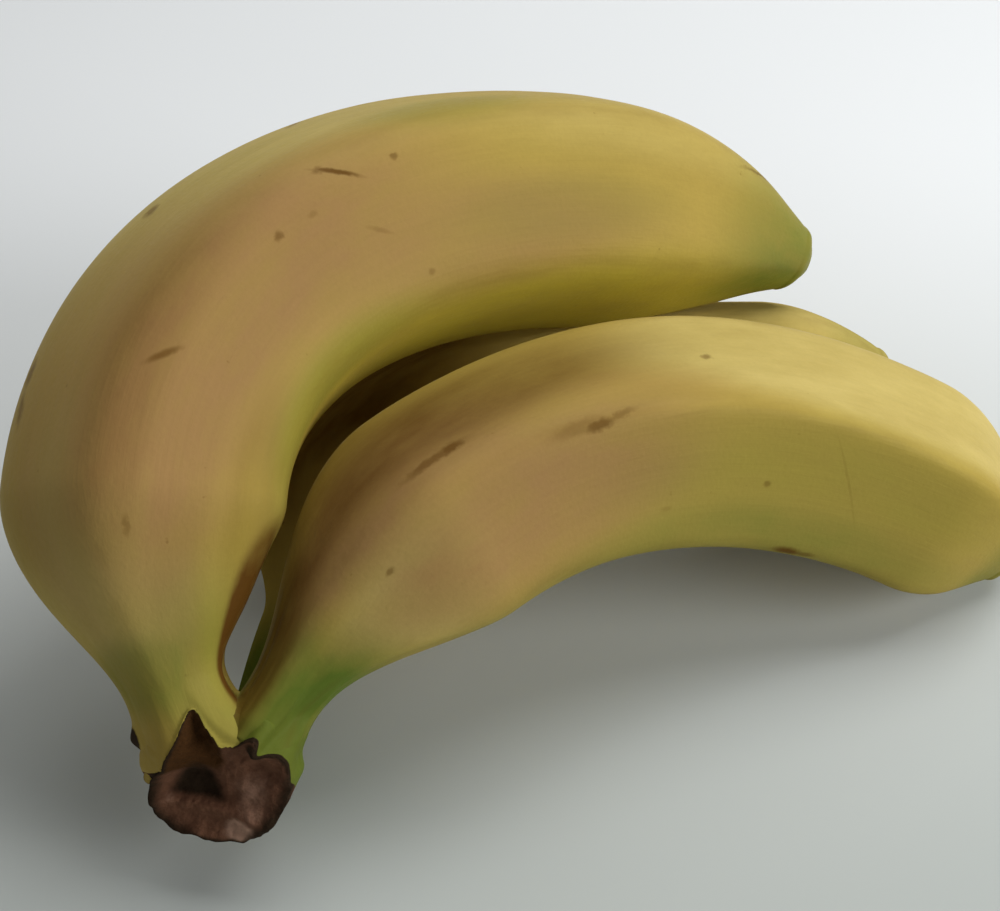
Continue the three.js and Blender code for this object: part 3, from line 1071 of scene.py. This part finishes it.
class PeelSettings(bpy.types.PropertyGroup):
    """Colours and relief of the three bananas' skins."""

    ripe: color_property("Ripe", "Colour of the ripe peel", 174, 150, 72)
    # Pale also serves as painted light on the front banana's lit top face and on the back banana's strip
    # under the upper tip.
    pale: color_property("Pale", "Colour of the palest peel, on the outer faces", 196, 176, 104)
    golden: color_property("Golden", "Colour of the deep yellow peel, on the inner faces", 187, 170, 60)
    tanned: color_property("Tanned", "Colour of the peel where it has begun to tan", 158, 124, 76)
    # Shaded: the brown of the painted shade on the peel, which the worn ridges also use.
    shaded: color_property("Shaded", "Colour of the darkest brown peel", 92, 61, 21)
    unripe: color_property("Unripe", "Colour of the peel that is still green", 91, 109, 38)
    marked: color_property("Marks", "Colour of the brown flecks and scars", 90, 56, 6)
    tip: color_property("Tip", "Colour of the dried flower scar", 48, 37, 27)
    roughness: strength_property("Roughness", "How matt the peel is", 0.5, most=1)
    unevenness: length_property("Unevenness", "Height of the broad swells of the skin", 0.3 * MM)
    crest: length_property("Crests", "Height of the crest along each ridge", 0.15 * MM)
    wrinkle: length_property("Wrinkles", "Height of the lengthwise wrinkles on the stems", 0.12 * MM)


class CrownSettings(bpy.types.PropertyGroup):
    """Colours and relief of the dried cut."""

    pulp: color_property("Pulp", "Colour of the dried pulp", 104, 72, 54)
    fresh: color_property("Fresh pulp", "Colour of the freshest pulp", 178, 142, 120)
    tongue: color_property("Torn strip", "Colour of the strip torn down from the upper stem", 66, 42, 20)
    # Dark pulp: the colour of the painted shade in the hollow, along the rim and below it, and of the
    # darkest dried pulp.
    shadow: color_property("Dark pulp", "Colour of the hollow, the rim and the driest pulp", 40, 30, 20)
    bowl: length_property("Bowl", "How far the cut sinks inside its rim", 1.1 * MM)
    hollow: length_property("Hollow", "Depth of the hollow in the middle", 1.2 * MM)
    lip: length_property("Lip", "Height of the curled lip along the rim", 0.5 * MM)
    grain: strength_property("Grain", "Strength of the torn grain", 1)


class StageSettings(bpy.types.PropertyGroup):
    """The floor, the light and the camera."""

    # The darker colour in front is painted shade, for the light falling off towards the camera.
    floor_front: color_property("Floor in front", "Colour of the floor before the bananas", 186, 192, 188)
    floor_back: color_property("Floor behind", "Colour of the floor behind the bananas", 243, 246, 247)
    backdrop: color_property("Backdrop", "Colour of the background far away", 232, 236, 236)
    floor_size: length_property("Floor size", "Length of the floor's sides", 8, 1, 20)
    top_lamp: strength_property("Top lamp", "Strength of the high lamp behind on the right", 0.5)
    side_lamp: strength_property("Side lamp", "Strength of the low lamp on the right", 0.56)
    back_lamp: strength_property("Back lamp", "Strength of the high lamp straight behind", 0.24)
    front_lamp: strength_property("Front lamp", "Strength of the lamp beside the camera", 0.12)
    surroundings: strength_property("Surroundings", "Strength of the even light from all sides", 0.05)
    camera_distance: length_property(
        "Camera distance", "Distance from the camera to the middle of the bananas", 0.235, 0.1, 5
    )
    camera_height: bpy.props.FloatProperty(
        name="Camera angle", description="How high above level the camera stands",
        default=math.radians(45), unit="ROTATION", min=0, max=math.radians(89),
    )


# ---- operators


class BANANA_CLUSTER_OT_add_bananas(bpy.types.Operator):
    """Make the skins of the three bananas"""

    bl_idname = "banana_cluster.add_bananas"
    bl_label = "Add bananas"

    def execute(self, context):
        settings = context.scene.banana_peel
        for fruit in FRUITS:
            mesh = closed_mesh(f"{fruit.name}_skin", *fruit_skin(fruit, settings))
            add_piece(mesh, peel_material(fruit, settings), fruit.name)
        return {"FINISHED"}


class BANANA_CLUSTER_OT_add_crown(bpy.types.Operator):
    """Make the dried cut where the stems meet"""

    bl_idname = "banana_cluster.add_crown"
    bl_label = "Add crown"

    def execute(self, context):
        settings = context.scene.banana_crown
        mesh = closed_mesh("crown_cut", *crown_skin(settings))
        add_piece(mesh, crown_material(context.scene.banana_peel, settings), "crown")
        return {"FINISHED"}


class BANANA_CLUSTER_OT_set_stage(bpy.types.Operator):
    """Add the floor, the four soft lamps, the surroundings' light and the camera"""

    bl_idname = "banana_cluster.set_stage"
    bl_label = "Set stage"

    def execute(self, context):
        settings = context.scene.banana_stage
        add_floor(settings)
        add_lights(settings)
        add_camera(settings)
        context.scene.view_settings.view_transform = "Standard"
        return {"FINISHED"}


CAMERA_TARGET = Vector((-10.87, 5.56, 24.83)) * MM
LENS = 50
LAMP_DISTANCE = 0.8
FLOOR_FRONT, FLOOR_BACK = -90, 150  # mm, between which the floor's two colours run into each other
FLOOR_FADES, FLOOR_FADED = 350, 1000  # mm from the bananas, where the floor runs into the backdrop
FLOOR_ROUGHNESS, FLOOR_GLOSS = 0.7, 0.3
# The soft round lamps: degrees to the right of straight behind, degrees above level, and size in metres.
LAMPS = {"top": (55, 58, 0.5), "side": (110, 22, 0.45), "back": (350, 67, 0.5), "front": (190, 30, 0.6)}


def add_floor(settings):
    half = settings.floor_size / 2
    mesh = bpy.data.meshes.new("floor")
    corners = [(-half, -half, 0), (half, -half, 0), (half, half, 0), (-half, half, 0)]
    mesh.from_pydata(corners, [], [(0, 1, 2, 3)])
    mesh.materials.append(floor_material(settings))
    floor = bpy.data.objects.new("floor", mesh)
    bpy.context.scene.collection.objects.link(floor)


def aimed(thing, distance, turn, height):
    """Put a lamp or camera at a distance from the bananas, turned from straight behind, and aim it."""
    away = Vector((
        math.sin(turn) * math.cos(height), math.cos(turn) * math.cos(height), math.sin(height)
    ))
    thing.location = CAMERA_TARGET + distance * away
    thing.rotation_euler = away.to_track_quat("Z", "Y").to_euler()
    bpy.context.scene.collection.objects.link(thing)


def add_lights(settings):
    """At a strength of 1 a lamp makes a matt surface that faces it send back about its own colour.

    Its energy is pi^2 * strength * distance^2, in watts and metres.
    """
    for name, (turn, height, size) in LAMPS.items():
        lamp = bpy.data.lights.new(name, "AREA")
        lamp.shape = "DISK"
        lamp.size = size
        lamp.energy = getattr(settings, f"{name}_lamp") * (math.pi * LAMP_DISTANCE) ** 2
        thing = bpy.data.objects.new(name, lamp)
        aimed(thing, LAMP_DISTANCE, math.radians(turn), math.radians(height))
    world = bpy.data.worlds.new("surroundings")
    shader = Shader(world)
    light = shader.node("Background", {"Color": (1, 1, 1, 1), "Strength": settings.surroundings})
    backdrop = shader.node("Background", {"Color": opaque(settings.backdrop)})
    mixed = shader.node("MixShader", {0: background_rays(shader), 1: light, 2: backdrop})
    shader.node("OutputWorld", {"Surface": mixed})
    bpy.context.scene.world = world


def add_camera(settings):
    camera = bpy.data.cameras.new("camera")
    camera.lens = LENS
    camera.clip_start = 0.01
    view = bpy.data.objects.new("camera", camera)
    aimed(view, settings.camera_distance, math.pi, settings.camera_height)
    bpy.context.scene.camera = view


# ---- panel and registration


class BANANA_CLUSTER_PT_panel(bpy.types.Panel):
    """The operators and their settings"""

    bl_label = "Banana Cluster"
    bl_space_type = "VIEW_3D"
    bl_region_type = "UI"
    bl_category = "Banana Cluster"

    def draw(self, context):
        for name, action in zip(SETTINGS, OPERATORS):
            settings = getattr(context.scene, name)
            box = self.layout.box()
            for setting in settings.__annotations__:
                box.prop(settings, setting)
            box.operator(action.bl_idname)


SETTINGS = {"banana_peel": PeelSettings, "banana_crown": CrownSettings, "banana_stage": StageSettings}
OPERATORS = (
    BANANA_CLUSTER_OT_add_bananas, BANANA_CLUSTER_OT_add_crown, BANANA_CLUSTER_OT_set_stage
)
CLASSES = (*SETTINGS.values(), *OPERATORS, BANANA_CLUSTER_PT_panel)


def register():
    for one in CLASSES:
        bpy.utils.register_class(one)
    for name, group in SETTINGS.items():
        setattr(bpy.types.Scene, name, bpy.props.PointerProperty(type=group))


def unregister():
    for name in SETTINGS:
        delattr(bpy.types.Scene, name)
    for one in reversed(CLASSES):
        bpy.utils.unregister_class(one)


def main():
    register()
    bpy.ops.banana_cluster.add_bananas()
    bpy.ops.banana_cluster.add_crown()
    bpy.ops.banana_cluster.set_stage()


if __name__ == "__main__":
    main()
